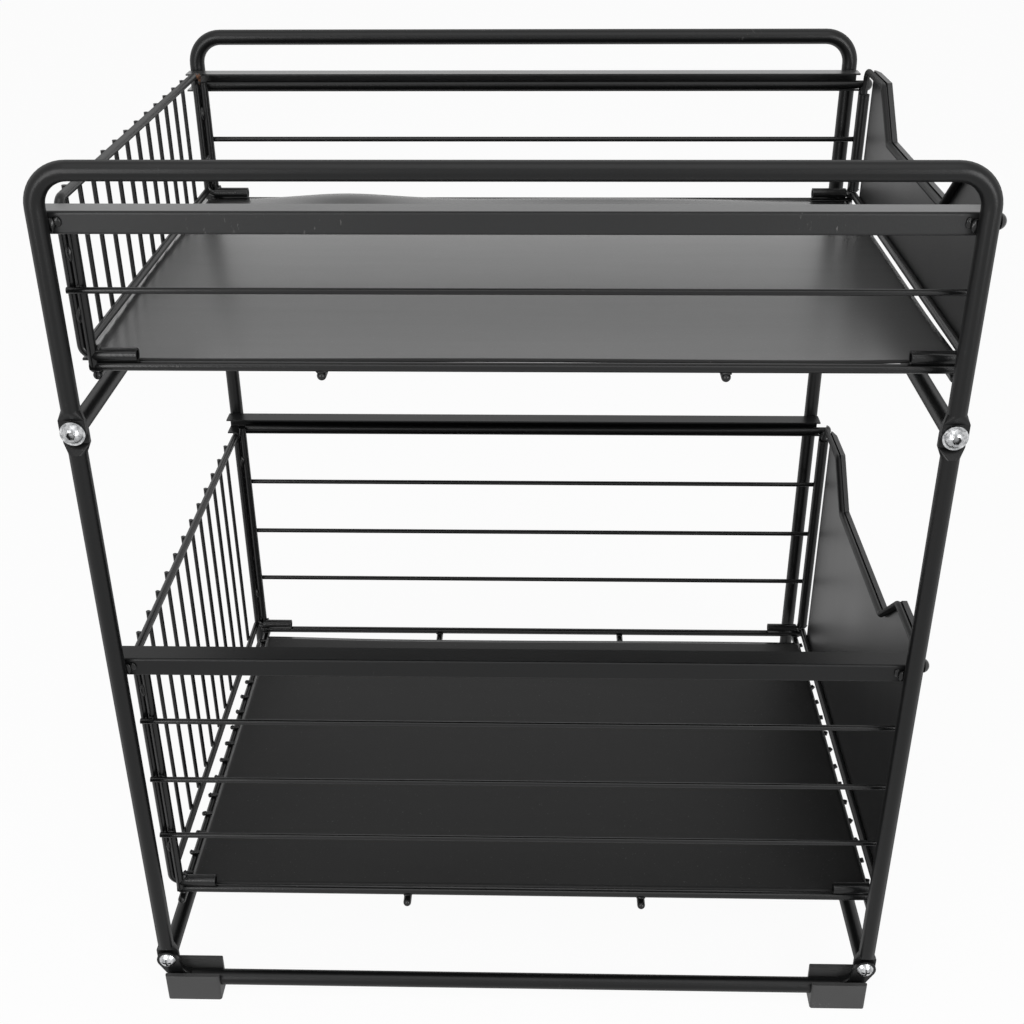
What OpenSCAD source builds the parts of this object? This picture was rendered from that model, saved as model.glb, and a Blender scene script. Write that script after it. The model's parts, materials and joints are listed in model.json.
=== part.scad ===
// Two-tier pull out cabinet basket: a bolted tube frame with four channel rails,
// and two wire baskets that slide out on rods held in the rails.
// X is the pull direction (front is +X), Y goes across, Z is up, in millimetres.
// The origin is on the floor, at the middle of the whole object's footprint.

/* [Frame] */
// Spacing of the back and front legs, tube centre to tube centre
leg_span = 430; // [400:5:470]
// Spacing of the two side frames, tube centre to tube centre
frame_w = 328; // [290:2:370]
// Overall height, floor to the top of the upper tube
frame_h = 524; // [516:1:545]
// Distance from the top down to the middle bolts, where the frame comes apart
mid_joint_drop = 133.6; // [128:0.2:140]
// Height of the bottom screws
base_joint_z = 28; // [27:0.5:31]
// Outside diameter of the frame tube
tube_d = 9.5; // [9:0.1:10]
// Wall of the frame tube
tube_wall = 1; // [0.8:0.1:1.2]
// Centre line radius of the upper corners
corner_r = 17; // [14:1:20]
// Width of a flattened tube end
tab_w = 13.2; // [12.6:0.2:14]
// Thickness of a flattened tube end
tab_t = 2.4; // [2.2:0.1:2.8]
// Length over which a round tube is pressed flat
pinch_len = 5; // [4:0.5:8]

/* [Feet] */
// Length of a foot along the base tube
foot_l = 33.4; // [30:0.2:38]
// Width of a foot
foot_w = 15.4; // [14.6:0.2:17]
// Height of the base tube's centre line
base_tube_z = 12.2; // [11.5:0.1:13]
// Height of a foot's outer wall
foot_h = 19.8; // [18:0.2:20.4]
// How much taller the inner wall of a foot is
foot_step = 2; // [1:0.5:2.5]

/* [Rails] */
// Height of the rail channel
rail_h = 11; // [10.5:0.1:12]
// Depth of the rail channel, from the legs towards the basket
rail_depth = 12.7; // [12:0.1:14]
// Thickness of the rail sheet
rail_t = 1; // [0.8:0.1:1.2]
// How far the rail runs past the legs' centre lines
rail_past_leg = 4.2; // [3:0.1:6]
// Distance from the top down to the underside of the upper rails
upper_rail_drop = 35.8; // [34:0.2:38]
// Height of the underside of the lower rails
lower_rail_z = 239.4; // [231:0.2:250]

/* [Baskets] */
// Diameter of the slide rod and of the posts
rod_d = 5; // [4.6:0.1:5.4]
// How far the slide rod stands out of the channel
rod_proud = 0.7; // [0.5:0.1:1.2]
// Height of the upper basket, slide rod to bottom sleeve
upper_drop = 70; // [62:1:78]
// Height of the lower basket, slide rod to bottom sleeve
lower_drop = 171; // [160:1:180]
// Distance that the thin side wires keep between each other
side_wire_step = 42.8; // [38:0.2:46]
// Distance from the upper slide rod down to the side wire
upper_side_drop = 35; // [30:1:40]
// Distance from the lower slide rod down to the first side wire
lower_side_drop = 44.4; // [36:0.2:48]
// Diameter of the thin side wires
side_wire_d = 3.2; // [2.6:0.1:3.6]
// Diameter of the bottom wires and the floor's cross wires
bottom_wire_d = 4.8; // [4.2:0.1:5]
// Diameter of the back loop and of the front sill wire
loop_d = 4.6; // [4.2:0.1:4.8]
// Diameter of the bar between the back loop's feet
back_bar_d = 4.2; // [3.8:0.1:4.4]
// Height of the upper back loop's top above the slide rod
upper_back_rise = 7.5; // [6:0.5:12]
// Height of the lower back loop's top above the slide rod
lower_back_rise = -2.5; // [-4:0.5:4]
// Number of thin wires in the back of a basket
back_wires = 12; // [9:1:15]
// Diameter of the thin wires in the back and the floor
thin_wire_d = 2.5; // [2.2:0.1:2.8]
// Number of thin wires in a floor grid
floor_wires = 15; // [11:1:19]
// Spacing of the thin wires in a floor grid
floor_step = 18.4; // [16:0.1:19]
// Spacing of the upper floor's two middle cross wires
upper_cross_gap = 200; // [160:5:220]
// Spacing of the lower floor's two middle cross wires
lower_cross_gap = 144; // [120:4:220]
// Outside diameter of the sleeves and sockets
sleeve_d = 7; // [6.8:0.1:7.4]
// Length of a bottom sleeve
sleeve_l = 22; // [18:1:24]
// Thickness of the loose mat
mat_t = 1; // [0.8:0.1:1.6]

/* [Front panel] */
// Height of the upper panel's high sides above the slide rod
upper_panel_rise = 12; // [9:0.5:15]
// Height of the lower panel's high sides above the slide rod
lower_panel_rise = 7; // [5:0.5:12]
// Depth of the hand dip in the middle
dip_depth = 28; // [22:0.5:34]
// Width of the dip at its top
dip_top_w = 188; // [160:2:210]
// Width of the dip at its bottom
dip_low_w = 126; // [100:2:150]
// Diameter of the panel's border wire
border_d = 4; // [3.6:0.1:4.2]
// Thickness of the panel sheet
panel_t = 1; // [0.8:0.1:1.2]
// How far the folded lip stands out of the panel
lip_out = 2; // [1.4:0.1:4]
// Distance from the panel's outer edges to the middles of the border's legs
panel_inset = 10; // [8:0.5:14]

/* [Fasteners] */
// Shank diameter of the middle bolts
bolt_d = 6; // [5.5:0.1:6]
// Head diameter of the middle bolts
bolt_head_d = 10.6; // [10:0.2:11.4]
// Diameter of the washers under the middle bolts
washer_d = 12.6; // [12:0.1:13]
// Shank diameter of the bottom screws
screw_d = 5; // [4.5:0.1:5]
// Head diameter of the bottom screws
screw_head_d = 10.2; // [9.6:0.2:10.8]

/* [Hidden] */

$fn = 48;

// Colours of the finishes
coat = [0.09, 0.09, 0.095];
panel_coat = [0.12, 0.12, 0.125];
rubber_black = [0.05, 0.05, 0.05];
mat_black = [0.15, 0.15, 0.155];
zinc = [0.78, 0.78, 0.78];

// Clearances and weld depths
slide_gap = 0.3;    // slide rod to the channel's lower flange
fit_gap = 0.05;     // a pin or shank in its hole, on the radius
touch_gap = 0.05;   // curved pieces that lie against each other
weld_sink = 0.3;    // how deep crossing wires are welded into each other
hole_play = 0.2;    // bolt holes in the flattened ends, on the radius
end_gap = 0.3;      // front posts to the ends of the rails
cut_past = 1;       // how far a hole's cutter runs past the face it opens

// Frame, measured from its middle
leg_x = leg_span / 2;
frame_y = frame_w / 2;
tube_r = tube_d / 2;
tube_bore = tube_d - 2 * tube_wall;
top_tube_z = frame_h - tube_r;
mid_joint_z = frame_h - mid_joint_drop;
upper_rail_z = frame_h - upper_rail_drop;
seam = 0.4;         // slit left inside a flattened end
tab_r = tab_w / 2;

// Rails and the rods that run in them
rail_end_x = leg_x + rail_past_leg;
rail_web_y = frame_y - tube_r;
rail_lip_y = rail_web_y - rail_depth;
rail_bend_r = 1.4;
rod_r = rod_d / 2;
rod_y = rail_lip_y + rod_r - rod_proud;
rod_back_x = -(leg_x - 9);   // the slide rods stop short of the back legs
rod_lift = rail_t + slide_gap + rod_r;
upper_rod_z = upper_rail_z + rod_lift;
lower_rod_z = lower_rail_z + rod_lift;

// Baskets: posts, sleeves and loops
post_y = rod_y - rod_d - touch_gap;
front_x = rail_end_x + end_gap + rod_r;
loop_y = rod_y - rod_r - sleeve_d / 2 - touch_gap;
loop_bend_r = 5;
back_x = -(leg_x - 3);
back_post_x = back_x + (loop_d + rod_d) / 2 + touch_gap;
back_sleeve_x = back_x + loop_bend_r;
front_sleeve_x = front_x - loop_bend_r;
sleeve_bore = loop_d + 2 * fit_gap;
bottom_wire_drop = (sleeve_d + bottom_wire_d) / 2 - weld_sink;
cross_wire_drop = bottom_wire_drop + bottom_wire_d + touch_gap;
floor_wire_drop = cross_wire_drop - (bottom_wire_d + thin_wire_d) / 2 + weld_sink;
mat_drop = floor_wire_drop - thin_wire_d / 2 - touch_gap;
bottom_tip = 2;     // bottom wires stand this far past the back posts
side_tip = 3.5;     // thin side wires stand this far past the back posts
tail_short = 2;     // the loops' tails stop this far inside the sleeves' ends
back_bar_up = 1.5;  // the back bar lies this far above the sleeves' middle
back_tip = 1.1;     // thin back wires stand this far past the loop's top
floor_tip = 2.2;    // thin floor wires stand this far past the end wires
floor_back_x = back_x + 6;
floor_front_x = front_x - 4.5;
upper_stub = 0;     // cross wires past the upper bottom wires
lower_stub = 5;     // cross wires past the lower bottom wires

// Loose mats: back edge, front edge, near edge and far edge
upper_mat_box = [back_x - 2, floor_front_x + 3, -139.3, 139.3];
lower_mat_box = [floor_back_x + 4, floor_front_x + 0.5, -140.4, 128.5];
mat_corner_r = 2;

// Front panel
socket_top_drop = 5;
prong_depth = 40;
border_corner_r = 6;
border_step = 2;    // the border's legs start to step forward this far over the sockets
step_l = 5;         // length of that step
step_r = 3;         // bend radius of that step
bend_steps = 5;     // facets in each of the border's bends
panel_x = front_x + loop_d / 2 + touch_gap;
border_x = panel_x - border_d / 2;
panel_half_w = loop_y - panel_inset;
panel_foot_drop = 4;
lip_cut = 7;        // how much shorter the lip is at each end than the panel is wide

// Plugs in the front ends of the slide rods
cap_d = 8;
cap_dome_h = 3;
cap_pin_d = 2.8;
cap_pin_l = 6;
rod_front_x = front_x + rod_r + 0.3;

// Where the frame's middle stands, so that the origin is at the footprint's middle
back_reach = leg_x + tab_r;
front_reach = max(panel_x + panel_t + lip_out, rod_front_x + touch_gap + cap_dome_h);
frame_x = (back_reach - front_reach) / 2;

// Places everything from the frame's middle
module placed() { translate([frame_x, 0, 0]) children(); }

// Side -1 is near, side 1 is far
module on_side(side) {
  if (side < 0) mirror([0, 1, 0]) children();
  else children();
}

// End -1 is back, end 1 is front
module on_end(end) {
  if (end < 0) mirror([1, 0, 0]) children();
  else children();
}

module along_x(x1, x2, y, z, d) {
  translate([x1, y, z]) rotate([0, 90, 0]) cylinder(d = d, h = x2 - x1);
}

module along_y(x, y1, y2, z, d) {
  translate([x, y1, z]) rotate([-90, 0, 0]) cylinder(d = d, h = y2 - y1);
}

module along_z(x, y, z1, z2, d) {
  translate([x, y, z1]) cylinder(d = d, h = z2 - z1);
}

// Heading of the straight stretch that starts at point i
function heading(p, i) = atan2(p[i + 1].y - p[i].y, p[i + 1].x - p[i].x);

// Signed turn at point i, from -180 to 180 degrees
function turn(p, i) = let (a = heading(p, i) - heading(p, i - 1))
  a > 180 ? a - 360 : a < -180 ? a + 360 : a;

// Length that the bend of radius r takes from each stretch at point i
function setback(p, i, r) =
  i == 0 || i == len(p) - 1 ? 0 : r * tan(abs(turn(p, i)) / 2);

// A round wire or bore of diameter d along the points p in the XY plane,
// with each corner bent to the centre line radius r
module bent_wire(p, d, r) {
  for (i = [0 : len(p) - 2]) {
    trim = setback(p, i, r);
    run = norm(p[i + 1] - p[i]) - trim - setback(p, i + 1, r);
    translate([p[i].x, p[i].y, 0])
      rotate([0, 0, heading(p, i)])
        translate([trim, 0, 0])
          rotate([0, 90, 0]) cylinder(d = d, h = run);
  }
  for (i = [1 : len(p) - 2]) {
    way = heading(p, i - 1);
    bend = turn(p, i);
    hand = sign(bend);
    back = setback(p, i, r);
    cx = p[i].x - back * cos(way) - hand * r * sin(way);
    cy = p[i].y - back * sin(way) + hand * r * cos(way);
    translate([cx, cy, 0])
      rotate([0, 0, hand > 0 ? way - 90 : way + 90 + bend])
        rotate_extrude(angle = abs(bend)) translate([r, 0]) circle(d = d);
  }
}

// Stands a shape drawn in the XY plane up into the XZ plane or the YZ plane
module in_xz() { rotate([90, 0, 0]) children(); }
module in_yz() { rotate([90, 0, 90]) children(); }

// Filled rectangle with round corners, one corner at the origin
module round_rect(w, h, r) {
  translate([r, 0]) square([w - 2 * r, h]);
  translate([0, r]) square([w, h - 2 * r]);
  for (x = [r, w - r], y = [r, h - r]) translate([x, y]) circle(r = r);
}

// ---- Frame ----

// The pressed part of a tube end: round at z = 0 and flat at z = -pinch_len,
// with the flat lying on one side (1 or -1) of the tube's middle plane
module pinch(d, flat_w, flat_t, flat_side) {
  slice = 0.02;
  hull() {
    translate([0, 0, -slice]) cylinder(d = d, h = slice, $fn = 32);
    translate([-flat_w / 2, flat_side * tab_t / 2 - flat_t / 2, -pinch_len])
      cube([flat_w, flat_t, slice]);
  }
}

// Flat tongue with a round tip and a bolt hole, its hole centre at the origin
module tongue(flat_side, up, hole_d) {
  translate([0, flat_side * tab_t / 2 + tab_t / 2, 0]) in_xz()
    difference() {
      union() {
        linear_extrude(tab_t) translate([-tab_r, 0]) square([tab_w, up]);
        cylinder(r = tab_r, h = tab_t);
      }
      translate([0, 0, -cut_past]) cylinder(d = hole_d, h = tab_t + 2 * cut_past);
    }
}

// The whole pressed end below a tube: the bolt hole is at the origin
module pressed_end(flat_side, hole_d) {
  difference() {
    union() {
      translate([0, 0, tab_r + pinch_len]) pinch(tube_d, tab_w, tab_t, flat_side);
      tongue(flat_side, tab_r + 0.01, hole_d);
    }
    translate([0, 0, tab_r + pinch_len + 0.01])
      pinch(tube_bore, tab_w - 2 * tube_wall, seam, flat_side);
  }
}

// Upper half of a side frame: one tube bent to an upside-down U
module upper_frame(side) {
  leg_low = mid_joint_z + tab_r + pinch_len;
  path = [[-leg_x, leg_low], [-leg_x, top_tube_z], [leg_x, top_tube_z], [leg_x, leg_low]];
  on_side(side) {
    translate([0, frame_y, 0]) in_xz() difference() {
      bent_wire(path, tube_d, corner_r);
      bent_wire(path, tube_bore, corner_r);
    }
    for (end = [-1, 1])
      translate([end * leg_x, frame_y, mid_joint_z])
        pressed_end(1, bolt_d + 2 * hole_play);
  }
}

// Lower leg: a straight tube pressed flat at both ends
module lower_leg(side, end) {
  low = base_joint_z + tab_r + pinch_len;
  high = mid_joint_z - tab_r - pinch_len;
  on_side(side) translate([end * leg_x, frame_y, 0]) {
    translate([0, 0, low]) difference() {
      cylinder(d = tube_d, h = high - low);
      translate([0, 0, -cut_past]) cylinder(d = tube_bore, h = high - low + 2 * cut_past);
    }
    translate([0, 0, base_joint_z]) pressed_end(-1, screw_d + 2 * hole_play);
    translate([0, 0, mid_joint_z]) mirror([0, 0, 1]) pressed_end(-1, bolt_d + 2 * hole_play);
  }
}

// Straight tube across the frame, clamped between the pressed ends
module cross_tube(end, z) {
  half = frame_y - tab_t;
  difference() {
    along_y(end * leg_x, -half, half, z, tube_d);
    along_y(end * leg_x, -half - cut_past, half + cut_past, z, tube_bore);
  }
}

// Base tube: straight on the feet, its pressed ends turned up to the bottom screws
module base_tube(side) {
  flat_x = leg_x - tab_r - 2;
  round_x = flat_x - pinch_len;
  tab_low = base_tube_z - tube_r + 0.9;
  heel_l = 5;
  on_side(side) {
    difference() {
      along_x(-round_x, round_x, frame_y, base_tube_z, tube_d);
      along_x(-round_x - cut_past, round_x + cut_past, frame_y, base_tube_z, tube_bore);
    }
    for (end = [-1, 1]) on_end(end) {
      difference() {
        hull() {
          along_x(round_x - 0.02, round_x, frame_y, base_tube_z, tube_d, $fn = 32);
          translate([flat_x, frame_y, tab_low]) cube([0.02, tab_t, tab_w]);
        }
        hull() {
          along_x(round_x - 0.03, round_x, frame_y, base_tube_z, tube_bore, $fn = 32);
          translate([flat_x + 0.01, frame_y + (tab_t - seam) / 2, tab_low + tube_wall])
            cube([0.02, seam, tab_w - 2 * tube_wall]);
        }
      }
      difference() {
        translate([0, frame_y + tab_t, 0]) in_xz() linear_extrude(tab_t) hull() {
          translate([flat_x, tab_low]) square([heel_l, tab_w]);
          translate([leg_x, base_joint_z]) circle(r = tab_r);
        }
        along_y(leg_x, frame_y - cut_past, frame_y + tab_t + cut_past, base_joint_z,
          screw_d + 2 * hole_play);
      }
    }
  }
}

// Foot: an open trough that clips over the base tube's end
module foot(side, end) {
  inner_y = frame_y - foot_w / 2 - 0.3;
  outer_x = leg_x + 1.5;
  trough_r = tube_r + touch_gap;
  on_side(side) on_end(end) difference() {
    union() {
      translate([outer_x - foot_l, inner_y, 0])
        linear_extrude(foot_h) round_rect(foot_l, foot_w, 1.5);
      translate([outer_x - foot_l, inner_y, 0])
        linear_extrude(foot_h + foot_step) round_rect(foot_l, foot_w / 2 - trough_r, 1);
    }
    along_x(outer_x - foot_l - cut_past, outer_x + cut_past, frame_y, base_tube_z,
      2 * trough_r);
    translate([outer_x - foot_l - cut_past, frame_y - trough_r, base_tube_z])
      cube([foot_l + 2 * cut_past, 2 * trough_r, foot_h]);
  }
}

// Rail: a channel of folded sheet, welded to the legs and open towards the basket
module rail(side, z) {
  on_side(side) translate([-rail_end_x, rail_web_y, z]) in_yz_inward()
    linear_extrude(2 * rail_end_x) difference() {
      round_rect(rail_depth + 2 * rail_bend_r, rail_h, rail_bend_r);
      translate([rail_t, rail_t])
        round_rect(rail_depth + 2 * rail_bend_r, rail_h - 2 * rail_t, rail_bend_r - rail_t);
      translate([rail_depth, -cut_past]) square([4 * rail_bend_r, rail_h + 2 * cut_past]);
    }
}

// As in_yz, but with the drawing's X pointing towards the basket
module in_yz_inward() { mirror([0, 1, 0]) in_yz() children(); }

// ---- Fasteners ----

// Button head bolt with a hexagon socket, its bearing face at z = 0
module button_bolt(shank_d, head_d, shank_l) {
  head_h = 3.2;
  socket_h = 2;
  socket_w = 4.6;
  shank_up = 0.5;
  ball_r = (head_d * head_d / 4 + head_h * head_h) / (2 * head_h);
  difference() {
    union() {
      intersection() {
        cylinder(d = head_d, h = head_h);
        translate([0, 0, head_h - ball_r]) sphere(r = ball_r, $fn = 96);
      }
      translate([0, 0, -shank_l]) cylinder(d = shank_d, h = shank_l + shank_up);
    }
    translate([0, 0, head_h - socket_h])
      cylinder(d = socket_w, h = socket_h + cut_past, $fn = 6);
  }
}

// Pan head screw with a cross recess, its bearing face at z = 0
module pan_screw(shank_d, head_d, shank_l) {
  head_h = 2.6;
  slot_w = 1.2;
  slot_l = 5.2;
  slot_h = 1.2;
  shank_up = 0.5;
  ball_r = head_d * 0.62;
  difference() {
    union() {
      intersection() {
        cylinder(d = head_d, h = head_h);
        translate([0, 0, head_h - ball_r]) sphere(r = ball_r, $fn = 96);
      }
      translate([0, 0, -shank_l]) cylinder(d = shank_d, h = shank_l + shank_up);
    }
    for (a = [0, 90]) rotate([0, 0, a])
      translate([-slot_l / 2, -slot_w / 2, head_h - slot_h])
        cube([slot_l, slot_w, slot_h + cut_past]);
  }
}

// Puts one fastener at each of the four joints at height z, its bearing face
// at the distance y from the middle and its head pointing outwards
module at_joints(y, z) {
  for (side = [-1, 1], end = [-1, 1])
    on_side(side) translate([end * leg_x, y, z]) rotate([-90, 0, 0]) children();
}

washer_t = 1.2;
insert_l = 14;
insert_spare = 2;   // length of an insert that the bolt doesn't reach
mid_face_y = frame_y + tab_t;
mid_shank_l = washer_t + 2 * tab_t + insert_l - insert_spare;
base_shank_l = 2 * tab_t + insert_l - insert_spare;

module mid_bolts() {
  placed() color(zinc) at_joints(mid_face_y + washer_t, mid_joint_z)
    button_bolt(bolt_d, bolt_head_d, mid_shank_l);
}

module mid_washers() {
  placed() color(zinc) at_joints(mid_face_y, mid_joint_z) difference() {
    cylinder(d = washer_d, h = washer_t);
    translate([0, 0, -cut_past])
      cylinder(d = bolt_d + 2 * hole_play, h = washer_t + 2 * cut_past);
  }
}

// Threaded inserts pressed into the ends of a cross tube
module inserts(z, hole_d) {
  placed() color(zinc) at_joints(frame_y - tab_t - insert_l, z) difference() {
    cylinder(d = tube_bore - 2 * fit_gap, h = insert_l);
    translate([0, 0, -cut_past]) cylinder(d = hole_d, h = insert_l + 2 * cut_past);
  }
}

module mid_inserts() { inserts(mid_joint_z, bolt_d + 2 * fit_gap); }

module base_screws() {
  placed() color(zinc) at_joints(mid_face_y, base_joint_z)
    pan_screw(screw_d, screw_head_d, base_shank_l);
}

module base_inserts() { inserts(base_joint_z, screw_d + 2 * fit_gap); }

// ---- Baskets ----

// Slide rod with its front post welded under it
module slide_rod(side, rod_z, drop) {
  hole_l = cap_pin_l + fit_gap;
  placed() color(coat) on_side(side) difference() {
    union() {
      along_x(rod_back_x, rod_front_x, rod_y, rod_z, rod_d);
      along_z(front_x, rod_y, rod_z - drop - bottom_wire_drop, rod_z, rod_d);
    }
    along_x(rod_front_x - hole_l, rod_front_x + cut_past, rod_y, rod_z,
      cap_pin_d + 2 * fit_gap);
  }
}

// Domed plastic plugs in the front ends of the two slide rods
module rod_caps(rod_z) {
  face_x = rod_front_x + touch_gap;
  ball_r = (cap_d * cap_d / 4 + cap_dome_h * cap_dome_h) / (2 * cap_dome_h);
  placed() color(rubber_black) for (side = [-1, 1]) on_side(side) {
    along_x(rod_front_x - cap_pin_l, face_x + cap_dome_h / 2, rod_y, rod_z, cap_pin_d);
    translate([face_x, rod_y, rod_z]) rotate([0, 90, 0]) intersection() {
      cylinder(d = 2 * cap_d, h = cap_dome_h);
      translate([0, 0, cap_dome_h - ball_r]) sphere(r = ball_r);
    }
  }
}

// Side of a basket: back post, bottom wire, two sleeves and the thin side wires,
// the first of them at the distance first_drop below the slide rod
module basket_side(side, rod_z, drop, wires, first_drop) {
  sleeve_z = rod_z - drop;
  bottom_z = sleeve_z - bottom_wire_drop;
  wire_y = post_y + rod_r + side_wire_d / 2 - weld_sink;
  notch_y = loop_y + sleeve_bore / 2;
  placed() color(coat) on_side(side) difference() {
    union() {
      along_z(back_post_x, post_y, bottom_z, rod_z + rod_r, rod_d);
      along_x(back_post_x - bottom_tip, front_x, post_y, bottom_z, bottom_wire_d);
      along_x(back_sleeve_x, back_sleeve_x + sleeve_l, loop_y, sleeve_z, sleeve_d);
      along_x(front_sleeve_x - sleeve_l, front_sleeve_x, loop_y, sleeve_z, sleeve_d);
      for (i = [0 : wires - 1])
        along_x(back_post_x - rod_r - side_tip, front_x - rod_r - touch_gap, wire_y,
          rod_z - first_drop - i * side_wire_step, side_wire_d);
    }
    along_x(back_sleeve_x - cut_past, back_sleeve_x + sleeve_l + cut_past, loop_y, sleeve_z,
      sleeve_bore);
    along_x(front_sleeve_x - sleeve_l - cut_past, front_sleeve_x + cut_past, loop_y, sleeve_z,
      sleeve_bore);
    translate([back_post_x - rod_r - cut_past, notch_y - rod_d - cut_past, bottom_z])
      translate([0, 0, bottom_wire_d / 2 + touch_gap])
        cube([back_sleeve_x - back_post_x + rod_r + cut_past, rod_d + cut_past,
          loop_bend_r + loop_d]);
  }
}

// Loop around a basket's back, its ends turned into the back sleeves
module back_loop(rod_z, drop, rise) {
  sleeve_z = rod_z - drop;
  top_z = rod_z + rise;
  low_z = sleeve_z + loop_bend_r;
  placed() color(coat) {
    translate([back_x, 0, 0]) in_yz()
      bent_wire([[-loop_y, low_z], [-loop_y, top_z], [loop_y, top_z], [loop_y, low_z]],
        loop_d, loop_bend_r + 1);
    for (side = [-1, 1]) {
      translate([back_sleeve_x, side * loop_y, low_z]) in_xz() rotate([0, 0, 180])
        rotate_extrude(angle = 90) translate([loop_bend_r, 0]) circle(d = loop_d);
      along_x(back_sleeve_x, back_sleeve_x + sleeve_l - tail_short, side * loop_y, sleeve_z,
        loop_d);
    }
  }
}

// Bar between the back loop's feet, and the thin upright wires welded on the outside
// of the loop's top and of the bar
module upright_wires(rod_z, drop, rise) {
  bar_z = rod_z - drop + back_bar_up;
  bar_half = loop_y - loop_d / 2 - touch_gap;
  thin_x = back_x - (loop_d + thin_wire_d) / 2 - touch_gap;
  step = 2 * loop_y / (back_wires + 1);
  placed() color(coat) {
    along_y(thin_x + (back_bar_d + thin_wire_d) / 2 - weld_sink, -bar_half, bar_half, bar_z,
      back_bar_d);
    for (i = [1 : back_wires])
      along_z(thin_x, i * step - loop_y, bar_z - back_bar_d / 2, rod_z + rise + back_tip,
        thin_wire_d);
  }
}

// Floor of a basket: cross wires under the bottom wires, thin wires on top of them
module floor_grid(rod_z, drop, cross_gap, stub) {
  sleeve_z = rod_z - drop;
  cross_z = sleeve_z - cross_wire_drop;
  thin_z = sleeve_z - floor_wire_drop;
  reach = post_y + stub;
  mid_x = (floor_back_x + floor_front_x) / 2;
  placed() color(coat) {
    for (x = [floor_back_x, mid_x - cross_gap / 2, mid_x + cross_gap / 2, floor_front_x]) {
      along_y(x, -reach, reach, cross_z, bottom_wire_d);
      for (side = [-1, 1])
        translate([x, side * reach, cross_z]) sphere(d = bottom_wire_d);
    }
    for (i = [0 : floor_wires - 1])
      along_x(floor_back_x - floor_tip, floor_front_x + floor_tip,
        (i - (floor_wires - 1) / 2) * floor_step, thin_z, thin_wire_d);
  }
}

// Wire across the front of the floor, its ends turned into the front sleeves
module sill_wire(rod_z, drop) {
  tail_x = front_sleeve_x - sleeve_l + tail_short;
  placed() color(coat) translate([0, 0, rod_z - drop])
    bent_wire([[tail_x, -loop_y], [front_x, -loop_y], [front_x, loop_y], [tail_x, loop_y]],
      loop_d, loop_bend_r);
}

// Upright sockets that the front panel's prongs stand in
module panel_sockets(rod_z, drop) {
  low_z = rod_z - drop + loop_d / 2 + touch_gap;
  top_z = rod_z - socket_top_drop;
  placed() color(coat) for (side = [-1, 1]) difference() {
    along_z(front_x, side * loop_y, low_z, top_z, sleeve_d);
    along_z(front_x, side * loop_y, top_z - prong_depth - cut_past, top_z + cut_past,
      border_d + 2 * fit_gap);
  }
}

function unit(v) = v / norm(v);

// Points of the bend of radius r at the corner b of the path a, b, c
function bend_points(a, b, c, r, steps) =
  let (u = unit(a - b), v = unit(c - b), half = acos(u * v) / 2, sweep = 180 - 2 * half,
    centre = b + unit(u + v) * r / sin(half),
    start = b + u * r / tan(half) - centre,
    stop = b + v * r / tan(half) - centre)
  [for (i = [0 : steps]) let (s = i / steps)
    centre + (start * sin((1 - s) * sweep) + stop * sin(s * sweep)) / sin(sweep)];

// The path with each inner corner bent to its own radius
function smooth_path(p, radii, steps) = [
  p[0],
  for (i = [1 : len(p) - 2]) each bend_points(p[i - 1], p[i], p[i + 1], radii[i], steps),
  p[len(p) - 1]
];

// Direction of a path at point i
function path_way(p, i) =
  let (after = i < len(p) - 1 ? unit(p[i + 1] - p[i]) : [0, 0, 0],
    before = i > 0 ? unit(p[i] - p[i - 1]) : [0, 0, 0])
  unit(after + before);

// A round wire carried along a path in space that never runs along X
module swept_wire(p, d, sides) {
  rings = len(p);
  points = [for (i = [0 : rings - 1])
    let (way = path_way(p, i), n = unit(cross(way, [1, 0, 0])), b = cross(way, n))
    for (k = [0 : sides - 1]) let (a = 360 * k / sides) p[i] + d / 2 * (cos(a) * n + sin(a) * b)];
  walls = [for (i = [0 : rings - 2], k = [0 : sides - 1])
    let (here = i * sides + k, next = i * sides + (k + 1) % sides)
    each [[here, here + sides, next], [next, here + sides, next + sides]]];
  caps = [[for (k = [0 : sides - 1]) k],
    [for (k = [sides - 1 : -1 : 0]) (rings - 1) * sides + k]];
  polyhedron(points, concat(walls, caps));
}

// Border wire of the front panel, with a dip in its middle and two prongs
module panel_wire(rod_z, rise) {
  top_z = rod_z + rise - border_d / 2;
  low_z = top_z - dip_depth;
  step_z = rod_z - socket_top_drop + border_step;
  half = [
    [front_x, loop_y, rod_z - socket_top_drop - prong_depth],
    [front_x, loop_y, step_z],
    [border_x, loop_y, step_z + step_l],
    [border_x, loop_y, top_z],
    [border_x, dip_top_w / 2, top_z],
    [border_x, dip_low_w / 2, low_z]
  ];
  radii = [0, step_r, step_r, border_corner_r, border_corner_r, border_corner_r];
  path = concat(
    [for (q = half) [q.x, -q.y, q.z]],
    [for (i = [5 : -1 : 0]) half[i]]
  );
  placed() color(coat)
    swept_wire(smooth_path(path, concat(radii, [for (i = [5 : -1 : 0]) radii[i]]), bend_steps),
      border_d, 16);
}

// Outline of the panel sheet, sunk by the given depth along its top
function panel_outline(tall, sunk) = [
  [-panel_half_w, -panel_foot_drop], [-panel_half_w, tall - sunk],
  [-dip_top_w / 2, tall - sunk], [-dip_low_w / 2, tall - dip_depth - sunk],
  [dip_low_w / 2, tall - dip_depth - sunk], [dip_top_w / 2, tall - sunk],
  [panel_half_w, tall - sunk], [panel_half_w, -panel_foot_drop]
];

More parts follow.
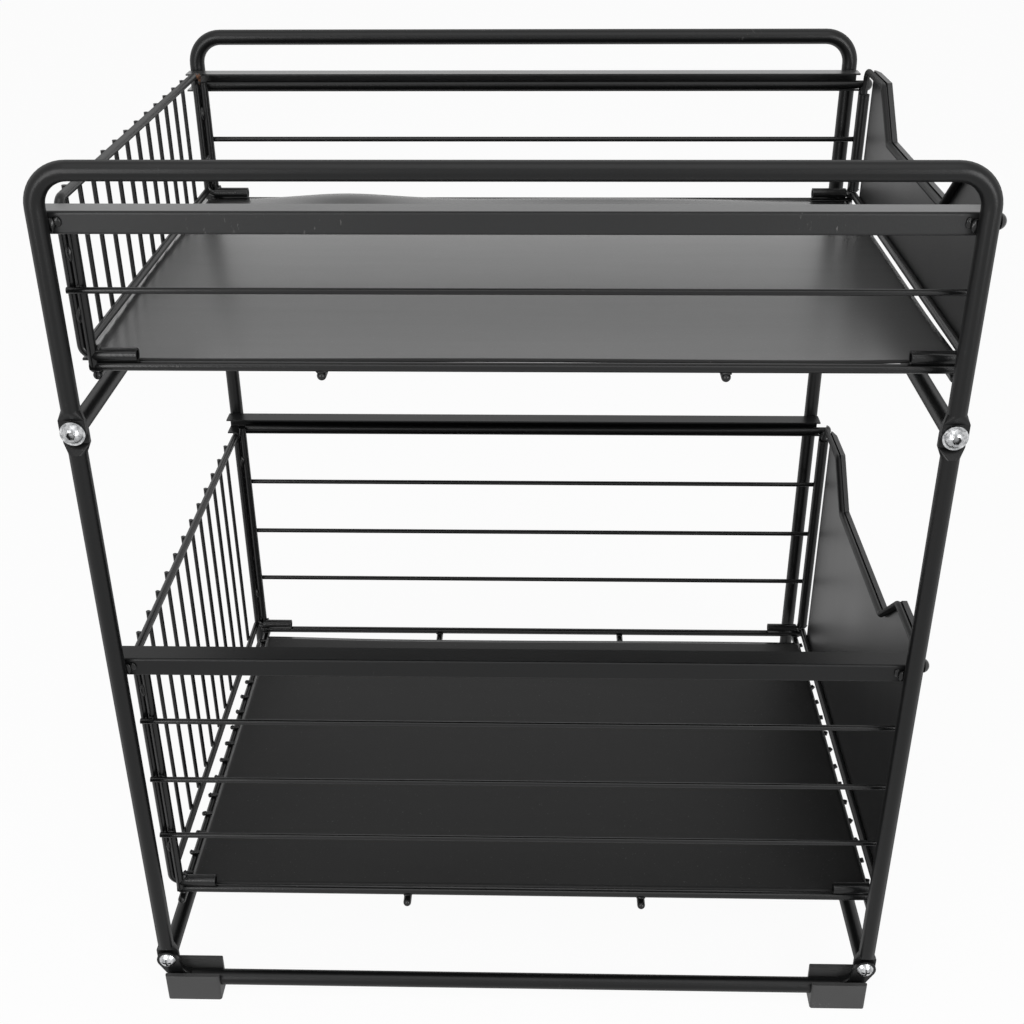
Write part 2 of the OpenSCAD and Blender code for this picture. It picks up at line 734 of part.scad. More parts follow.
// Sheet of the front panel, with a lip folded outwards along its top edge
module panel_sheet(rod_z, drop, rise) {
  tall = drop + rise;
  depth = panel_t + lip_out;
  placed() color(panel_coat) translate([panel_x, 0, rod_z - drop]) {
    in_yz() linear_extrude(panel_t) polygon(panel_outline(tall, 0));
    intersection() {
      in_yz() linear_extrude(depth) difference() {
        polygon(panel_outline(tall, 0));
        polygon(panel_outline(tall, panel_t));
      }
      linear_extrude(tall + cut_past) polygon([
        [0, -panel_half_w], [panel_t, -panel_half_w], [depth, lip_cut - panel_half_w],
        [depth, panel_half_w - lip_cut], [panel_t, panel_half_w], [0, panel_half_w]
      ]);
    }
  }
}

// Loose mat that lies on the floor wires, with its edges at the four places in box
module basket_mat(rod_z, drop, box) {
  placed() color(mat_black) translate([box[0], box[2], rod_z - drop - mat_drop])
    linear_extrude(mat_t) round_rect(box[1] - box[0], box[3] - box[2], mat_corner_r);
}

// ---- Nodes ----

module upper_frame_near() { placed() color(coat) upper_frame(-1); }
module upper_frame_far() { placed() color(coat) upper_frame(1); }
module lower_leg_near_back() { placed() color(coat) lower_leg(-1, -1); }
module lower_leg_near_front() { placed() color(coat) lower_leg(-1, 1); }
module lower_leg_far_back() { placed() color(coat) lower_leg(1, -1); }
module lower_leg_far_front() { placed() color(coat) lower_leg(1, 1); }
module mid_cross_tube_back() { placed() color(coat) cross_tube(-1, mid_joint_z); }
module mid_cross_tube_front() { placed() color(coat) cross_tube(1, mid_joint_z); }
module base_cross_tube_back() { placed() color(coat) cross_tube(-1, base_joint_z); }
module base_cross_tube_front() { placed() color(coat) cross_tube(1, base_joint_z); }
module base_tube_near() { placed() color(coat) base_tube(-1); }
module base_tube_far() { placed() color(coat) base_tube(1); }
module foot_near_back() { placed() color(rubber_black) foot(-1, -1); }
module foot_near_front() { placed() color(rubber_black) foot(-1, 1); }
module foot_far_back() { placed() color(rubber_black) foot(1, -1); }
module foot_far_front() { placed() color(rubber_black) foot(1, 1); }
module upper_rail_near() { placed() color(coat) rail(-1, upper_rail_z); }
module upper_rail_far() { placed() color(coat) rail(1, upper_rail_z); }
module lower_rail_near() { placed() color(coat) rail(-1, lower_rail_z); }
module lower_rail_far() { placed() color(coat) rail(1, lower_rail_z); }

module upper_slide_rod_near() { slide_rod(-1, upper_rod_z, upper_drop); }
module upper_slide_rod_far() { slide_rod(1, upper_rod_z, upper_drop); }
module upper_side_near() { basket_side(-1, upper_rod_z, upper_drop, 1, upper_side_drop); }
module upper_side_far() { basket_side(1, upper_rod_z, upper_drop, 1, upper_side_drop); }
module upper_back_loop() { back_loop(upper_rod_z, upper_drop, upper_back_rise); }
module upper_back_wires() { upright_wires(upper_rod_z, upper_drop, upper_back_rise); }
module upper_floor_grid() { floor_grid(upper_rod_z, upper_drop, upper_cross_gap, upper_stub); }
module upper_sill_wire() { sill_wire(upper_rod_z, upper_drop); }
module upper_panel_sockets() { panel_sockets(upper_rod_z, upper_drop); }
module upper_panel_wire() { panel_wire(upper_rod_z, upper_panel_rise); }
module upper_panel_sheet() { panel_sheet(upper_rod_z, upper_drop, upper_panel_rise); }
module upper_rod_caps() { rod_caps(upper_rod_z); }
module upper_mat() { basket_mat(upper_rod_z, upper_drop, upper_mat_box); }

module lower_slide_rod_near() { slide_rod(-1, lower_rod_z, lower_drop); }
module lower_slide_rod_far() { slide_rod(1, lower_rod_z, lower_drop); }
module lower_side_near() { basket_side(-1, lower_rod_z, lower_drop, 3, lower_side_drop); }
module lower_side_far() { basket_side(1, lower_rod_z, lower_drop, 3, lower_side_drop); }
module lower_back_loop() { back_loop(lower_rod_z, lower_drop, lower_back_rise); }
module lower_back_wires() { upright_wires(lower_rod_z, lower_drop, lower_back_rise); }
module lower_floor_grid() { floor_grid(lower_rod_z, lower_drop, lower_cross_gap, lower_stub); }
module lower_sill_wire() { sill_wire(lower_rod_z, lower_drop); }
module lower_panel_sockets() { panel_sockets(lower_rod_z, lower_drop); }
module lower_panel_wire() { panel_wire(lower_rod_z, lower_panel_rise); }
module lower_panel_sheet() { panel_sheet(lower_rod_z, lower_drop, lower_panel_rise); }
module lower_rod_caps() { rod_caps(lower_rod_z); }
module lower_mat() { basket_mat(lower_rod_z, lower_drop, lower_mat_box); }

upper_frame_near();
upper_frame_far();
lower_leg_near_back();
lower_leg_near_front();
lower_leg_far_back();
lower_leg_far_front();
mid_cross_tube_back();
mid_cross_tube_front();
base_cross_tube_back();
base_cross_tube_front();
base_tube_near();
base_tube_far();
foot_near_back();
foot_near_front();
foot_far_back();
foot_far_front();
upper_rail_near();
upper_rail_far();
lower_rail_near();
lower_rail_far();
mid_bolts();
mid_washers();
mid_inserts();
base_screws();
base_inserts();
upper_slide_rod_near();
upper_slide_rod_far();
upper_side_near();
upper_side_far();
upper_back_loop();
upper_back_wires();
upper_floor_grid();
upper_sill_wire();
upper_panel_sockets();
upper_panel_wire();
upper_panel_sheet();
upper_rod_caps();
upper_mat();
lower_slide_rod_near();
lower_slide_rod_far();
lower_side_near();
lower_side_far();
lower_back_loop();
lower_back_wires();
lower_floor_grid();
lower_sill_wire();
lower_panel_sockets();
lower_panel_wire();
lower_panel_sheet();
lower_rod_caps();
lower_mat();
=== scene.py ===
"""Looks of a two-tier pull out cabinet basket: a black powder coated tube frame with
channel rails, and two wire baskets with sheet front panels and loose grey mats.

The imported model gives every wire, tube and fastener its place. This script adds what the
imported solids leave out: the warped mats, the weld beads, and the finish of each surface.
Lengths are in metres. X is the pull direction, front at +X, and the camera looks along +Y.
"""

import json
import math

import bpy
import numpy as np
from mathutils import Matrix, Vector

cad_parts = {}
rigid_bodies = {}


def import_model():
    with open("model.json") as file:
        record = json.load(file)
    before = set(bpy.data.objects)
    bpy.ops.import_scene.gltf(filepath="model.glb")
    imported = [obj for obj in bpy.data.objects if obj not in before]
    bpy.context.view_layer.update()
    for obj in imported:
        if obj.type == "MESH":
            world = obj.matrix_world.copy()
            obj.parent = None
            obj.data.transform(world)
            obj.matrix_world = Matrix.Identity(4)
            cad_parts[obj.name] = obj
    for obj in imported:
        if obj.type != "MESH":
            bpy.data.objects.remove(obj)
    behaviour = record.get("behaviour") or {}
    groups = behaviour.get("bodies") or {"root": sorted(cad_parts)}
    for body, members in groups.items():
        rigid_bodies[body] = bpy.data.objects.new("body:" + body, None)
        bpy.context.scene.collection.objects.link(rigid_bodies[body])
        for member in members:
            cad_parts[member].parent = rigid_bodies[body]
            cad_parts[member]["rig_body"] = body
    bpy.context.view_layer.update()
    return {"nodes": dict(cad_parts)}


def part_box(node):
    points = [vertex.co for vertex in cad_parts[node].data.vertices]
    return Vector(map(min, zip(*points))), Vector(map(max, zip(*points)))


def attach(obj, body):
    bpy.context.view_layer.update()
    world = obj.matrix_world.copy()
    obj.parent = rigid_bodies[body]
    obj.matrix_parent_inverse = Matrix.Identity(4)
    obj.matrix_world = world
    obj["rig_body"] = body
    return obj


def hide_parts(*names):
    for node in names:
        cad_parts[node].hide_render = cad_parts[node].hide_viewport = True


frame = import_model()

MM = 0.001

# Sizes that the welds need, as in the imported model
ROD_D = 5 * MM
LOOP_D = 4.6 * MM
CROSS_D = 4.8 * MM
BACK_WIRES = 12
FLOOR_WIRES = 15
FLOOR_STEP = 18.4
SIDE_WIRES = {"upper": 1, "lower": 3}
FIRST_SIDE_WIRE = {"upper": 35.0, "lower": 44.4}
SIDE_STEP = 42.8
BACK_BAR_D = 4.2 * MM
SIDE_WIRE_D = 3.2 * MM
POST_BEHIND_LOOP = 4.85 * MM  # from the loop's centre to the post's
CROSS_GAP = {"upper": 200 * MM, "lower": 144 * MM}  # between the two middle cross wires
POST_WELDS = {"upper": (17.4, 48.6), "lower": (24.8, 141.6)}  # below the slide rods

# ---- Camera and light ----

PHOTO_SIDE = 1024  # width and height of the photograph, in pixels
FOCAL_PIXELS = 1364.9
SENSOR = 36.0
CAMERA_AT = Vector((0.0130, -0.7660, 0.6806))
PITCH_DOWN = math.radians(29.035)
YAW_RIGHT = math.radians(-1.502)
ROLL = math.radians(-0.368)

WORLD_LEVEL = 0.38  # how strongly the white surroundings light the object
FLOOR_WHITE = 0.95  # the share of the floor that is its own white, the rest is shaded


def make_camera():
    """A plain perspective camera: forward, right and up come from the pitch, yaw and roll."""
    forward = Vector((
        math.sin(YAW_RIGHT) * math.cos(PITCH_DOWN),
        math.cos(YAW_RIGHT) * math.cos(PITCH_DOWN),
        -math.sin(PITCH_DOWN),
    ))
    level = Vector((math.cos(YAW_RIGHT), -math.sin(YAW_RIGHT), 0))
    upright = level.cross(forward)
    right = math.cos(ROLL) * level + math.sin(ROLL) * upright
    up = math.cos(ROLL) * upright - math.sin(ROLL) * level
    data = bpy.data.cameras.new("camera")
    data.sensor_width = SENSOR
    data.lens = SENSOR * FOCAL_PIXELS / PHOTO_SIDE
    data.clip_start, data.clip_end = 0.01, 50
    camera = bpy.data.objects.new("camera", data)
    bpy.context.scene.collection.objects.link(camera)
    turned = Matrix((right, up, -forward)).transposed().to_4x4()
    camera.matrix_world = Matrix.Translation(CAMERA_AT) @ turned
    bpy.context.scene.camera = camera


def softbox(name, place, aim, width, height, watts):
    """A rectangular area lamp at a place, turned to a point that it lights."""
    data = bpy.data.lights.new(name, "AREA")
    data.shape = "RECTANGLE"
    data.size, data.size_y, data.energy = width, height, watts
    lamp = bpy.data.objects.new(name, data)
    bpy.context.scene.collection.objects.link(lamp)
    lamp.location = place
    lamp.rotation_euler = (Vector(aim) - Vector(place)).to_track_quat("-Z", "Y").to_euler()


# ---- Shader expressions ----


class Sock:
    """A socket of a node tree that works in Python expressions. The operators add Math
    nodes, in both orders, and node() adds any other node."""

    def __init__(self, tree, socket=None):
        self.tree, self.socket = tree, socket

    def node(self, kind, settings=None, inputs=None, output=0):
        """Adds a node of a kind. Its settings are set first, then each input gets a value or a
        link. Returns the named or numbered output."""
        made = self.tree.nodes.new("ShaderNode" + kind)
        for key, value in (settings or {}).items():
            setattr(made, key, value)
        for key, value in (inputs or {}).items():
            if isinstance(value, Sock):
                self.tree.links.new(value.socket, made.inputs[key])
            else:
                made.inputs[key].default_value = value
        return Sock(self.tree, made.outputs[output])

    def maths(self, operation, *values):
        return self.node("Math", {"operation": operation}, dict(enumerate(values)))

    def __add__(self, other):
        return self.maths("ADD", self, other)

    def __sub__(self, other):
        return self.maths("SUBTRACT", self, other)

    def __rsub__(self, other):
        return self.maths("SUBTRACT", other, self)

    def __mul__(self, other):
        return self.maths("MULTIPLY", self, other)

    __radd__ = __add__
    __rmul__ = __mul__

    def above(self, low, high):
        """0 below low, 1 above high, smooth in between."""
        steps = {"interpolation_type": "SMOOTHSTEP"}
        return self.node("MapRange", steps, {"Value": self, "From Min": low, "From Max": high})

    def noise(self, scale, detail=2.0, rough=0.5):
        """Cloudy noise on these coordinates, 1 / scale metres across."""
        values = {"Vector": self, "Scale": scale, "Detail": detail, "Roughness": rough}
        return self.node("TexNoise", {}, values, "Fac")

    def grazing(self, low, high):
        """0 where the surface faces the eye and 1 where it is seen edge on."""
        return self.node("LayerWeight", {}, {"Blend": 0.5}, "Facing").above(low, high)

    def cells(self, scale):
        """Distance to the nearest of many scattered points."""
        return self.node("TexVoronoi", {}, {"Vector": self, "Scale": scale}, "Distance")

    def stretched(self, x, y, z):
        """These coordinates, scaled by x, y and z."""
        return self.node("Mapping", {}, {"Vector": self, "Scale": (x, y, z)})

    def mix(self, low, high):
        """The colour low where this is 0 and high where it is 1."""
        return self.node("Mix", {"data_type": "RGBA"}, {0: self, 6: low, 7: high}, 2)


def new_material(name):
    """An empty material, its tree and the Object coordinates in it."""
    material = bpy.data.materials.new(name)
    material.use_nodes = True
    material.node_tree.nodes.clear()
    tree = Sock(material.node_tree)
    return material, tree, tree.node("TexCoord", output="Object")


def finish_surface(material, tree, values, height, depth):
    """Joins a Principled surface, with a bump of that depth in metres, to the output."""
    bump = tree.node("Bump", {}, {"Height": height, "Strength": 1.0, "Distance": depth})
    shader = tree.node("BsdfPrincipled", {}, {**values, "Normal": bump}, "BSDF")
    out = material.node_tree.nodes.new("ShaderNodeOutputMaterial")
    material.node_tree.links.new(shader.socket, out.inputs["Surface"])
    return material


def grey(level, tint=0.0):
    """A linear grey, a little bluer with a positive tint."""
    return (level * (1 - tint), level, level * (1 + tint), 1)


# ---- Materials ----


def powder_coat(name, level, gloss, sheen, haze=0.0):
    """Black satin powder coat: orange peel a millimetre across, slow clouds of sheen, fine
    dust, and a few pale rubs where the frame has been handled. Round parts are duller at the
    rim. Flat parts get a haze instead, a coat that shows when they are seen edge on."""
    material, tree, here = new_material(name)
    cloud = here.noise(14, 3)
    peel = here.noise(850, 2)
    dust = here.noise(2600, 1).above(0.70, 0.80)
    patch = here.noise(22, 2).above(0.60, 0.72)
    rub = patch * here.stretched(1, 1, 0.35).noise(520, 3, 0.7).above(0.62, 0.72)
    colour = rub.mix(dust.mix(grey(level, 0.03), grey(level * 2.6)), grey(level * 9, -0.02))
    rim = tree.grazing(0.50, 0.95) * (1 - haze)
    rough = gloss + 0.10 * cloud + 0.22 * rub + 0.05 * peel + 0.45 * rim
    height = peel + 0.5 * rub
    veil = tree.grazing(0.55, 0.80) * haze
    values = {"Base Color": colour, "Roughness": rough, "Specular IOR Level": sheen,
              "Coat Weight": veil, "Coat Roughness": 0.30, "Coat IOR": 1.6}
    return finish_surface(material, tree, values, height, 0.00004)


def panel_coat(name):
    """The same coat on flat sheet: smoother, with the long shallow waves of pressed steel."""
    material, tree, here = new_material(name)
    cloud = here.noise(9, 2)
    peel = here.noise(900, 2)
    dust = here.noise(2300, 1).above(0.71, 0.80)
    wave = here.stretched(1, 1.6, 1).noise(12, 1)
    colour = dust.mix(grey(0.012, 0.02), grey(0.045))
    rough = 0.34 + 0.10 * cloud + 0.05 * peel
    values = {"Base Color": colour, "Roughness": rough, "Specular IOR Level": 0.5}
    return finish_surface(material, tree, values, 0.05 * peel + wave, 0.0006)


def mat_plastic(name):
    """Soft dark grey plastic sheet: a fine pebble grain, faint bands from rolling, smudges
    and a little dust. Seen edge on it turns hazy."""
    material, tree, here = new_material(name)
    grain = here.cells(1500)
    smudge = here.noise(16, 4, 0.6)
    band = here.stretched(0.3, 4, 1).noise(30, 2)
    dust = here.noise(1100, 2).above(0.70, 0.78)
    tone = smudge.mix(grey(0.011), grey(0.016))
    colour = dust.mix(tone, grey(0.11))
    rough = 0.36 + 0.10 * smudge + 0.05 * band + 0.04 * grain
    height = 0.5 * grain + 0.4 * band
    veil = tree.grazing(0.42, 0.64) * (0.9 + 0.2 * smudge)
    values = {"Base Color": colour, "Roughness": rough, "Specular IOR Level": 0.22,
              "Coat Weight": veil, "Coat Roughness": 0.26, "Coat IOR": 1.55}
    return finish_surface(material, tree, values, height, 0.00006)


def foot_plastic(name):
    """Matt moulded plastic: a spark eroded texture, and dust in its scuffs."""
    material, tree, here = new_material(name)
    spark = here.noise(1700, 3, 0.6)
    cloud = here.noise(60, 3)
    scuff = here.noise(34, 2).above(0.55, 0.7) * here.noise(900, 3, 0.7).above(0.58, 0.7)
    colour = scuff.mix(cloud.mix(grey(0.030), grey(0.042)), grey(0.14))
    rough = 0.52 + 0.12 * cloud + 0.1 * scuff
    values = {"Base Color": colour, "Roughness": rough, "Specular IOR Level": 0.5}
    return finish_surface(material, tree, values, spark, 0.00008)


def cap_plastic(name):
    """Smooth black plastic, a little shinier than the coat, with fine scratches."""
    material, tree, here = new_material(name)
    cloud = here.noise(180, 2)
    scratch = here.stretched(1, 1, 9).noise(700, 3).above(0.6, 0.7)
    colour = scratch.mix(grey(0.012), grey(0.04))
    rough = 0.26 + 0.1 * cloud + 0.12 * scratch
    values = {"Base Color": colour, "Roughness": rough, "Specular IOR Level": 0.5}
    return finish_surface(material, tree, values, cloud + 0.2 * scratch, 0.00003)


def zinc_plate(name):
    """Bright zinc plating: fine turning marks, cloudy dull patches, darker pits, and painted
    shade (an ambient occlusion darkening) where the metal folds in, as in the sockets of the bolts."""
    material, tree, here = new_material(name)
    cloud = here.noise(420, 3, 0.6)
    marks = here.stretched(1, 0.2, 1).noise(3200, 2)
    pit = here.noise(1500, 2).above(0.58, 0.72)
    open_air = tree.node("AmbientOcclusion", {"samples": 8}, {"Distance": 0.004}, "AO")
    # painted shade: the colour goes dark where ambient occlusion finds the metal folding in, as in
    # the bolt sockets
    painted_shade = 1 - open_air.above(0.30, 0.85)
    tone = cloud.above(0.35, 0.65).mix(grey(0.34, 0.02), grey(0.66, 0.01))
    colour = painted_shade.mix(pit.mix(tone, grey(0.12)), grey(0.03))
    rough = 0.16 + 0.12 * cloud + 0.06 * marks + 0.15 * pit
    values = {"Base Color": colour, "Roughness": rough, "Metallic": 1.0}
    return finish_surface(material, tree, values, marks + cloud, 0.00004)


def rusty_weld(name):
    """A weld whose coat has burnt through: brown rust over dark coat."""
    material, tree, here = new_material(name)
    cloud = here.noise(420, 4, 0.65)
    bare = cloud.above(0.42, 0.56)
    brown = here.noise(900, 2).mix((0.10, 0.035, 0.014, 1), (0.22, 0.10, 0.05, 1))
    colour = bare.mix(grey(0.02), brown)
    rough = 0.42 + 0.35 * bare
    values = {"Base Color": colour, "Roughness": rough, "Specular IOR Level": 0.5}
    return finish_surface(material, tree, values, cloud, 0.0004)


# ---- Surfaces worked out on grids ----


def grid_faces(rows, columns, around=False, first=0):
    """Four-cornered faces between the points of a grid, numbered row by row from first. With
    around, the last column joins the first."""
    steps = columns if around else columns - 1
    row, column = np.meshgrid(np.arange(rows - 1), np.arange(steps), indexing="ij")
    after = (column + 1) % columns
    corners = [
        row * columns + column,
        row * columns + after,
        (row + 1) * columns + after,
        (row + 1) * columns + column,
    ]
    return np.stack(corners, axis=-1).reshape(-1, 4) + first


def new_piece(name, points, faces, body, finish, smooth=True):
    """A mesh object from points and faces, riding on a body and with its finish."""
    mesh = bpy.data.meshes.new(name)
    mesh.from_pydata(points.reshape(-1, 3).tolist(), [], [list(f) for f in faces])
    mesh.polygons.foreach_set("use_smooth", [smooth] * len(mesh.polygons))
    mesh.materials.append(finish)
    mesh.update()
    piece = bpy.data.objects.new(name, mesh)
    bpy.context.scene.collection.objects.link(piece)
    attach(piece, body)
    return piece


def beads(name, centres, sizes, body, finish, lumps=0.12):
    """Weld beads, all in one mesh. Each is an ellipsoid: the point at latitude a and longitude
    b lies at centre + size * (cos a cos b, cos a sin b, sin a) * swell, and the swell is
    1 + lumps * sin(3 b + 2 a + phase) * cos a, with the phase set by the bead's number."""
    rows, columns = 9, 14
    a = np.linspace(-math.pi / 2, math.pi / 2, rows)[1:-1, None]
    b = np.linspace(0, 2 * math.pi, columns, endpoint=False)[None, :]
    centres, sizes = np.array(centres, float), np.array(sizes, float)
    phase = np.arange(len(centres))[:, None, None] * 2.4
    swell = 1 + lumps * np.sin(3 * b + 2 * a + phase) * np.cos(a)
    unit = np.stack(np.broadcast_arrays(np.cos(a) * np.cos(b), np.cos(a) * np.sin(b), np.sin(a)), -1)
    rings = centres[:, None, None] + sizes[:, None, None] * unit[None] * swell[..., None]
    poles = np.stack([centres - sizes * (0, 0, 1), centres + sizes * (0, 0, 1)], axis=1)
    points = np.concatenate([rings.reshape(len(centres), -1, 3), poles], axis=1)
    ring_points = (rows - 2) * columns
    faces = []
    turn = np.arange(columns)
    low = np.stack([(turn + 1) % columns, turn, np.full(columns, ring_points)], -1)
    last = (rows - 3) * columns
    high = np.stack([last + turn, last + (turn + 1) % columns, np.full(columns, ring_points + 1)], -1)
    for i in range(len(centres)):
        start = i * (ring_points + 2)
        faces += grid_faces(rows - 2, columns, True, start).tolist()
        faces += (low + start).tolist() + (high + start).tolist()
    return new_piece(name, points, faces, body, finish)


# ---- Pieces ----


def middle(node):
    low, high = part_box(node)
    return (low + high) / 2


def warped_mat(node, finish, waves):
    """A mat that has taken a set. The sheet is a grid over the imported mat's outline, and its
    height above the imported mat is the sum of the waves. Each wave is a bump with its top at a
    place along the length and the width. It falls off as its height divided by the square of
    1 + the squared distance from its top, measured in the wave's own widths."""
    low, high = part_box(node)
    rows, columns = 90, 130
    u = np.linspace(0, 1, columns)[None, :]
    v = np.linspace(0, 1, rows)[:, None]
    x = low.x + (high.x - low.x) * u + 0 * v
    y = low.y + (high.y - low.y) * v + 0 * u
    z = np.full_like(x, low.z)
    for height, at_u, at_v, wide_u, wide_v in waves:
        away = ((u - at_u) / wide_u) ** 2 + ((v - at_v) / wide_v) ** 2
        z = z + height * MM / (1 + away) ** 2
    piece = new_piece(node + "_sheet", np.stack([x, y, z], -1), grid_faces(rows, columns),
                      body_of(node), finish)
    wall = piece.modifiers.new("thickness", "SOLIDIFY")
    wall.thickness, wall.offset = high.z - low.z, 1
    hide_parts(node)
    return piece


def body_of(node):
    """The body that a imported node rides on."""
    return frame["nodes"][node]["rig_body"]


def rail_welds(finish):
    """Beads that hold each rail to its two legs: one in the corner, one smeared on the web."""
    centres, sizes = [], []
    for tier in ("upper", "lower"):
        for side, hand in (("near", -1), ("far", 1)):
            rail_low, rail_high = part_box(f"{tier}_rail_{side}")
            web_y = max(abs(rail_low.y), abs(rail_high.y)) * hand
            z = (rail_low.z + rail_high.z) / 2
            for end, way in (("back", -1), ("front", 1)):
                leg_x = middle(f"mid_cross_tube_{end}").x
                centres += [
                    (leg_x - way * 4.6 * MM, web_y + hand * 1.0 * MM, z - 0.6 * MM),
                    (leg_x - way * 7.2 * MM, web_y + hand * 0.3 * MM, z + 0.8 * MM),
                ]
                sizes += [(1.8 * MM, 1.0 * MM, 3.4 * MM), (2.0 * MM, 0.7 * MM, 2.6 * MM)]
    return beads("rail_weld_beads", centres, sizes, "frame", finish, 0.2)


def basket_welds(tier, finish):
    """Beads where the wires of a basket cross: the back wires on the loop's top and on the bar,
    the floor's cross wires under the bottom wires, the tips of the floor wires by the sill, the
    loop's legs on the posts, the side wires on the posts, and the sockets on the sill."""
    loop_low, loop_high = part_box(f"{tier}_back_loop")
    wires_low, wires_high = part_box(f"{tier}_back_wires")
    floor_low, floor_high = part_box(f"{tier}_floor_grid")
    side_low, side_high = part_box(f"{tier}_side_far")
    sill_low, sill_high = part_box(f"{tier}_sill_wire")
    rod_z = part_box(f"{tier}_slide_rod_far")[1].z - ROD_D / 2
    loop_x, loop_y = loop_low.x + LOOP_D / 2, loop_high.y - LOOP_D / 2
    sites = []

    def bead(x, y, z, size_x, size_y, size_z):
        sites.append(((x, y, z), (size_x * MM, size_y * MM, size_z * MM)))

    step = 2 * loop_y / (BACK_WIRES + 1)
    for i in range(1, BACK_WIRES + 1):
        y = i * step - loop_y
        bead(loop_x - 2.2 * MM, y, loop_high.z - LOOP_D / 2, 1.2, 1.7, 1.3)
        bead(loop_x - 2.2 * MM, y, wires_low.z + BACK_BAR_D / 2, 1.2, 1.7, 1.3)
    wire_y = side_high.y - SIDE_WIRE_D / 2
    post_x = loop_x + POST_BEHIND_LOOP
    bottom_z = side_low.z + CROSS_D / 2
    back_x, front_x = floor_low.x + 2.2 * MM, floor_high.x - 2.2 * MM
    mid_x = (back_x + front_x) / 2
    half_gap = CROSS_GAP[tier] / 2
    for hand in (-1, 1):
        for drop in POST_WELDS[tier]:
            bead(post_x - 2.4 * MM, hand * (loop_y + 0.5 * MM), rod_z - drop * MM, 2.4, 3.0, 5.0)
        for x in (back_x, mid_x - half_gap, mid_x + half_gap, front_x):
            bead(x, hand * (loop_y + 1.0 * MM), bottom_z - CROSS_D / 2, 2.9, 2.2, 1.1)
        for i in range(SIDE_WIRES[tier]):
            z = rod_z - (FIRST_SIDE_WIRE[tier] + i * SIDE_STEP) * MM
            bead(post_x, hand * (wire_y - 1.5 * MM), z, 1.9, 1.1, 2.2)
            bead(sill_high.x - LOOP_D / 2 - 2.6 * MM, hand * wire_y, z, 1.6, 1.5, 1.7)
        bead(sill_high.x - LOOP_D / 2, hand * loop_y, sill_high.z, 3.9, 3.9, 1.0)
        bead(post_x + 3.0 * MM, hand * loop_y, sill_high.z + 0.9 * MM, 1.6, 2.4, 2.0)
    for i in range(FLOOR_WIRES):
        y = (i - (FLOOR_WIRES - 1) / 2) * FLOOR_STEP * MM
        bead(floor_high.x - 0.4 * MM, y, floor_high.z - 1.3 * MM, 1.7, 1.8, 1.7)
        bead(floor_low.x + 0.2 * MM, y, floor_high.z - 1.3 * MM, 1.5, 1.6, 1.6)
    centres, sizes = zip(*sites)
    beads(f"{tier}_basket_weld_beads", centres, sizes, f"{tier}_basket", finish, 0.18)


def burnt_weld(finish):
    """The rusty bead at the far top corner of the upper back loop, in three overlapping lumps."""
    loop_low, loop_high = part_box("upper_back_loop")
    x, y, z = loop_low.x + LOOP_D / 2, loop_high.y - 3.6 * MM, loop_high.z - 3.4 * MM
    centres = [(x + 1.2 * MM, y + 1.0 * MM, z), (x + 0.6 * MM, y - 2.4 * MM, z + 0.9 * MM),
               (x + 1.4 * MM, y + 1.6 * MM, z - 3.0 * MM)]
    sizes = [(2.6 * MM, 2.4 * MM, 2.2 * MM), (2.4 * MM, 2.6 * MM, 1.9 * MM),
             (2.0 * MM, 1.9 * MM, 2.2 * MM)]
    beads("burnt_weld_bead", centres, sizes, "upper_basket", finish, 0.22)


def dress_nodes(finishes):
    """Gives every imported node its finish."""
    for name, node in frame["nodes"].items():
        node.data.materials.clear()
        node.data.materials.append(finishes[finish_of(name)])


def finish_of(name):
    """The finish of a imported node, from the words in its name."""
    for word, finish in (
        ("foot", "foot_plastic"), ("caps", "cap_plastic"), ("mat", "mat_sheet"),
        ("panel_sheet", "panel_coat"), ("upper_rail", "rail_coat"), ("bolts", "zinc_plate"),
        ("side", "wire_coat"), ("back_", "wire_coat"), ("grid", "wire_coat"), ("sill", "wire_coat"),
        ("washers", "zinc_plate"), ("inserts", "zinc_plate"), ("screws", "zinc_plate"),
    ):
        if word in name:
            return finish
    return "black_coat"


# ---- Floor and surroundings ----


def seen_white(tree):
    """1 for the rays that see the white background: straight from the camera, mirrored in a
    surface, or passed through one."""
    return (tree.node("LightPath", output="Is Camera Ray")
            + tree.node("LightPath", output="Is Glossy Ray")
            + tree.node("LightPath", output="Is Transmission Ray"))


def make_floor():
    """A wide white floor. To the camera and in reflections it is mostly its own white, with a
    share of real shading that keeps the object's shadow."""
    material, tree, _ = new_material("floor")
    white = tree.node("Emission", {}, {"Color": grey(1.0), "Strength": 1.0})
    shaded = tree.node("BsdfDiffuse", {}, {"Color": grey(0.86)})
    both = tree.node("MixShader", {}, {0: seen_white(tree) * FLOOR_WHITE, 1: shaded, 2: white})
    out = material.node_tree.nodes.new("ShaderNodeOutputMaterial")
    material.node_tree.links.new(both.socket, out.inputs["Surface"])
    reach = 12.0
    corners = [(-reach, -reach, 0), (reach, -reach, 0), (reach, reach, 0), (-reach, reach, 0)]
    mesh = bpy.data.meshes.new("floor")
    mesh.from_pydata(corners, [], [(0, 1, 2, 3)])
    mesh.materials.append(material)
    floor = bpy.data.objects.new("floor", mesh)
    bpy.context.scene.collection.objects.link(floor)


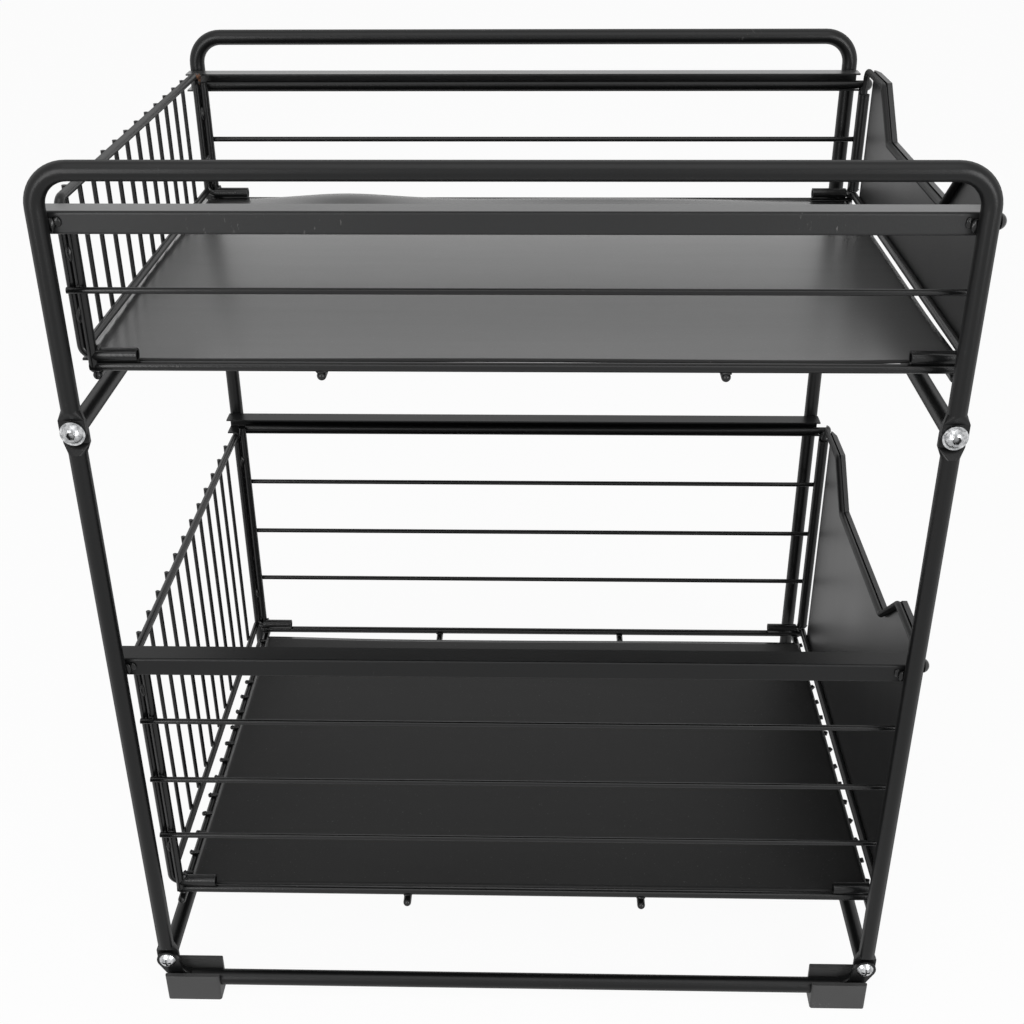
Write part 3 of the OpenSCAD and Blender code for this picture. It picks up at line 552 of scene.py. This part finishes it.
def make_surroundings():
    """A white studio, seen white and lighting the object at WORLD_LEVEL."""
    world = bpy.data.worlds.new("studio")
    bpy.context.scene.world = world
    world.use_nodes = True
    world.node_tree.nodes.clear()
    tree = Sock(world.node_tree)
    light = tree.node("Background", {}, {"Color": grey(1.0), "Strength": WORLD_LEVEL})
    white = tree.node("Background", {}, {"Color": grey(1.0), "Strength": 1.0})
    both = tree.node("MixShader", {}, {0: seen_white(tree), 1: light, 2: white})
    out = world.node_tree.nodes.new("ShaderNodeOutputWorld")
    world.node_tree.links.new(both.socket, out.inputs["Surface"])


# ---- The scene ----

bpy.context.scene.view_settings.view_transform = "Standard"
make_camera()
make_surroundings()
make_floor()
for name, place, width, height, watts in (
    ("left_box", (-0.85, -1.45, 0.70), 0.50, 1.0, 10.0),
    ("right_box", (1.00, -1.40, 0.70), 0.55, 1.0, 12.0),
    ("top_box", (0.0, -0.85, 1.95), 1.8, 1.4, 9.0),
):
    softbox(name, place, (0, 0, 0.35), width, height, watts)

finishes = {
    "black_coat": powder_coat("black_coat", 0.005, 0.24, 0.25),
    "wire_coat": powder_coat("wire_coat", 0.005, 0.13, 0.34),
    "rail_coat": powder_coat("rail_coat", 0.010, 0.30, 0.36, 0.8),
    "panel_coat": panel_coat("panel_coat"),
    "foot_plastic": foot_plastic("foot_plastic"),
    "cap_plastic": cap_plastic("cap_plastic"),
    "mat_sheet": mat_plastic("mat_sheet"),
    "zinc_plate": zinc_plate("zinc_plate"),
}
dress_nodes(finishes)
warped_mat("upper_mat", finishes["mat_sheet"], [
    (5.0, 0.22, 1.0, 0.16, 0.10), (3.0, 0.62, 1.02, 0.3, 0.08), (1.6, 1.0, 0.0, 0.12, 0.2),
    (1.2, 0.5, 0.0, 0.5, 0.12), (3.0, 0.0, 0.5, 0.06, 0.6),
])
warped_mat("lower_mat", finishes["mat_sheet"], [
    (2.2, 0.0, 1.0, 0.2, 0.15), (1.2, 0.8, 0.9, 0.3, 0.2), (0.8, 0.4, 0.1, 0.5, 0.2),
])
rail_welds(finishes["wire_coat"])
basket_welds("upper", finishes["wire_coat"])
basket_welds("lower", finishes["wire_coat"])
burnt_weld(rusty_weld("rusty_weld"))
